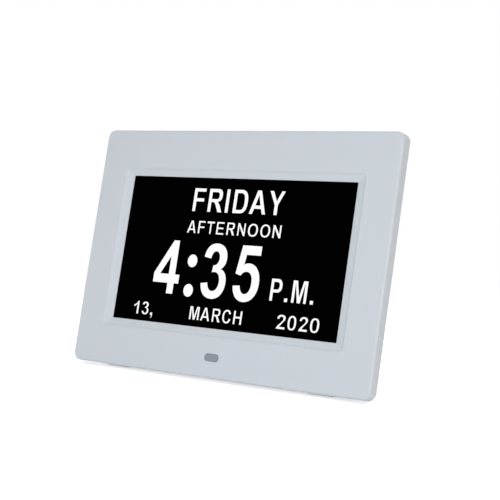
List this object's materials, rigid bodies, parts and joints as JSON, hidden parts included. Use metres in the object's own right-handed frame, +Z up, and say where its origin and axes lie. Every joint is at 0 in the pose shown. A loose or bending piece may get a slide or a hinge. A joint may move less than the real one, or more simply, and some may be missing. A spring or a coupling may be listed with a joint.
{
  "type": "dementia day clock",
  "caption": "Flat white tabletop day clock with a wide seven-inch screen, leaning back on a fold-out leg, with push buttons behind.",
  "frame": {"origin": "centre of the footprint on the floor, under the middle of the whole clock standing on its leg", "axes": "+Z up, +X to the right as seen from in front, screen facing -Y and leaning back 14.6 degrees"},
  "size_m": [0.2036, 0.0616, 0.1384],
  "materials": {
    "casing": "satin white moulding",
    "screen": "black polariser",
    "window": "smoked",
    "rubber": "matt",
    "steel": "plated",
    "glass": "clear",
    "film": "white film",
    "acrylic": "clear acrylic",
    "board": "solder mask",
    "black_plastic": "moulded",
    "white_plastic": "moulded",
    "washer": "nylon",
    "plated": "bright plating",
    "aluminium": "drawn can",
    "brass": "plated",
    "ferrite": "sintered",
    "paper": "pressed paper",
    "flex": "polyimide",
    "lead": "sleeve",
    "lamp": "lit white"
  },
  "bodies": {
    "casing": {"backlight_leds": "lamp", "backup_cell": "plated", "board_screws": "steel", "capacitors": "aluminium", "casing_feet": "rubber", "casing_screws": "steel", "cell_holder": "black_plastic", "clamp_bars": "steel", "clamp_screws": "steel", "crystal": "plated", "dc_jack": "black_plastic", "dc_jack_pin": "brass", "diffuser_films": "film", "flex_connector": "white_plastic", "front_bezel": "casing", "ir_board": "board", "ir_board_screws": "steel", "ir_lead": "lead", "ir_receiver": "black_plastic", "ir_window": "window", "key_board": "board", "key_board_screws": "steel", "key_lead": "white_plastic", "lcd_flex": "flex", "lcd_frame": "steel", "lcd_glass": "glass", "lcd_polariser": "screen", "lcd_tray": "steel", "led_strip": "film", "light_guide": "acrylic", "main_board": "board", "memory_chips": "black_plastic", "power_coil": "ferrite", "processor": "black_plastic", "rear_cover": "casing", "reflector_film": "film", "speaker_cone": "paper", "speaker_frame": "steel", "speaker_lead": "lead", "speaker_magnet": "ferrite", "speaker_screws": "steel", "stand_pin": "steel", "stand_washers": "washer", "tact_switches": "black_plastic", "wire_connectors": "white_plastic"},
    "stand": {"stand_leg": "casing", "stand_foot": "rubber"},
    "key_menu": {"button_menu": "casing", "plunger_menu": "black_plastic"},
    "key_up": {"button_up": "casing", "plunger_up": "black_plastic"},
    "key_down": {"button_down": "casing", "plunger_down": "black_plastic"},
    "key_left": {"button_left": "casing", "plunger_left": "black_plastic"},
    "key_right": {"button_right": "casing", "plunger_right": "black_plastic"},
    "key_exit": {"button_exit": "casing", "plunger_exit": "black_plastic"}
  },
  "joints": [
    {"name": "stand_hinge", "type": "hinge", "parent": "casing", "child": "stand", "pos_m": [0, 0.00728, 0.07955], "axis": [-1, 0, 0], "range_deg": [0, 30]},
    {"name": "press_menu", "type": "slide", "parent": "casing", "child": "key_menu", "axis": [0, -0.9676, 0.2524], "range_m": [0, 0.0004], "stiffness_N_per_m": 1000},
    {"name": "press_up", "type": "slide", "parent": "casing", "child": "key_up", "axis": [0, -0.9676, 0.2524], "range_m": [0, 0.0004], "stiffness_N_per_m": 1000},
    {"name": "press_down", "type": "slide", "parent": "casing", "child": "key_down", "axis": [0, -0.9676, 0.2524], "range_m": [0, 0.0004], "stiffness_N_per_m": 1000},
    {"name": "press_left", "type": "slide", "parent": "casing", "child": "key_left", "axis": [0, -0.9676, 0.2524], "range_m": [0, 0.0004], "stiffness_N_per_m": 1000},
    {"name": "press_right", "type": "slide", "parent": "casing", "child": "key_right", "axis": [0, -0.9676, 0.2524], "range_m": [0, 0.0004], "stiffness_N_per_m": 1000},
    {"name": "press_exit", "type": "slide", "parent": "casing", "child": "key_exit", "axis": [0, -0.9676, 0.2524], "range_m": [0, 0.0004], "stiffness_N_per_m": 1000}
  ]
}
